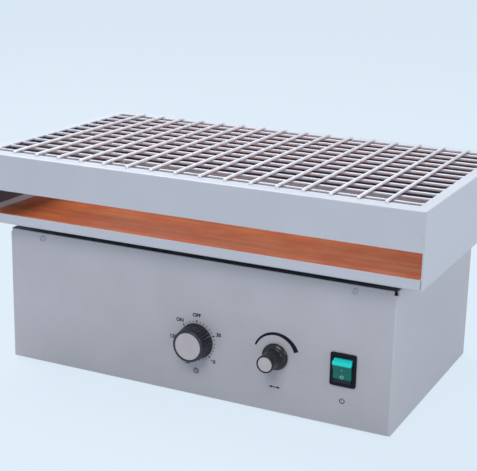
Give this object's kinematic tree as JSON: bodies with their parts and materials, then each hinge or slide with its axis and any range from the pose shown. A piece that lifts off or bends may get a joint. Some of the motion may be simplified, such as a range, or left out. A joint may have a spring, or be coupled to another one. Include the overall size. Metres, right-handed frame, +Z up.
{
  "type": "laboratory shaker",
  "caption": "Bench shaker: a wire-grid tray slides left and right on a sheet-metal housing with a timer knob, a speed knob and a rocker switch, driven by a belt and crank inside.",
  "frame": {"origin": "middle of the footprint on the bench, under the crank's spindle", "axes": "+X to the user's right, along the tray's travel; +Y from the controls to the rear; +Z up"},
  "size_m": [0.47, 0.2831, 0.2245],
  "materials": {
    "housing_paint": "semi-gloss grey-white stoved paint",
    "tray_paint": "semi-gloss grey-white stoved paint",
    "varnished_board": "glossy orange-brown varnish with lengthwise grain",
    "wire_coating": "smooth white coating on steel wire",
    "black_knob": "black moulded plastic",
    "black_plastic": "black moulded plastic, fine grain",
    "knob_disc": "spun bright metal",
    "rocker_green": "translucent green plastic",
    "feet_rubber": "black rubber",
    "screw_steel": "dark plated steel",
    "bright_steel": "ground steel",
    "zinc_steel": "zinc-plated steel",
    "cast_aluminium": "as-cast and machined",
    "grey_iron": "machined grey iron",
    "bronze": "oiled sintered bronze",
    "belt_rubber": "fabric-backed rubber",
    "motor_paint": "dark grey enamel",
    "circuit_board": "green laminate with black parts",
    "winding_tape": "laminated core with taped winding"
  },
  "bodies": {
    "base": {"base_plate": "zinc_steel", "bearing_pillar": "cast_aluminium", "board_spacers": "zinc_steel", "control_board": "circuit_board", "deck_plate": "housing_paint", "drive_belt": "belt_rubber", "frame_screws": "screw_steel", "fuse_holder": "black_plastic", "guide_rod_front": "bright_steel", "guide_rod_rear": "bright_steel", "housing_wrap": "housing_paint", "motor": "motor_paint", "motor_bracket": "zinc_steel", "panel_nuts": "zinc_steel", "panel_screws": "screw_steel", "power_inlet": "black_plastic", "rear_panel": "housing_paint", "rod_brackets": "cast_aluminium", "rubber_feet": "feet_rubber", "speed_control": "zinc_steel", "spindle_bearings": "bright_steel", "switch_body": "black_plastic", "timer_body": "zinc_steel", "transformer": "winding_tape"},
    "tray": {"drive_crossbar": "bright_steel", "grid_ledges": "tray_paint", "grid_wires_front_to_back": "wire_coating", "grid_wires_left_to_right": "wire_coating", "slider_bushes": "bronze", "slider_front_left": "cast_aluminium", "slider_front_right": "cast_aluminium", "slider_rear_left": "cast_aluminium", "slider_rear_right": "cast_aluminium", "tray_band_front": "tray_paint", "tray_band_rear": "tray_paint", "tray_board": "varnished_board", "tray_pan": "tray_paint", "tray_posts": "bright_steel", "tray_screws": "screw_steel", "tray_side_left": "tray_paint", "tray_side_right": "tray_paint", "wrist_pin": "bright_steel"},
    "rod": {"connecting_rod": "cast_aluminium", "crank_bolt": "screw_steel", "rod_bushes": "bronze"},
    "crank": {"crank_disc": "bright_steel", "crank_pulley": "grey_iron", "crank_spindle": "bright_steel"},
    "motor_rotor": {"motor_pulley": "grey_iron", "motor_shaft": "bright_steel"},
    "timer_dial": {"timer_knob": "black_knob", "timer_knob_disc": "knob_disc", "timer_shaft": "bright_steel"},
    "speed_dial": {"speed_knob": "black_knob", "speed_knob_cap": "knob_disc", "speed_shaft": "bright_steel"},
    "switch_rocker": {"rocker": "rocker_green"}
  },
  "joints": [
    {"name": "tray_slide", "type": "slide", "parent": "base", "child": "tray", "axis": [1, 0, 0], "range_m": [-0.01, 0.01]},
    {"name": "rod_swing", "type": "hinge", "parent": "tray", "child": "rod", "pos_m": [-0.11, 0, 0.103], "axis": [0, 0, 1], "range_deg": [-10.4, 0]},
    {"name": "crank_turn", "type": "hinge", "parent": "base", "child": "crank", "pos_m": [0, 0, 0.09], "axis": [0, 0, 1], "continuous": true},
    {"name": "motor_turn", "type": "hinge", "parent": "base", "child": "motor_rotor", "pos_m": [0.1, 0, 0.09], "axis": [0, 0, 1], "continuous": true},
    {"name": "timer_turn", "type": "hinge", "parent": "base", "child": "timer_dial", "pos_m": [0.0088, -0.13, 0.0587], "axis": [0, 1, 0], "range_deg": [-45, 270]},
    {"name": "speed_turn", "type": "hinge", "parent": "base", "child": "speed_dial", "pos_m": [0.0924, -0.13, 0.0587], "axis": [0, 1, 0], "range_deg": [0, 270]},
    {"name": "rocker_tip", "type": "hinge", "parent": "base", "child": "switch_rocker", "pos_m": [0.1605, -0.1168, 0.0587], "axis": [-1, 0, 0], "range_deg": [0, 22]}
  ],
  "couplings": [
    {"joint": "crank_turn", "follows": "tray_slide", "rad_per_m": -157.08},
    {"joint": "motor_turn", "follows": "tray_slide", "rad_per_m": -510.51}
  ]
}
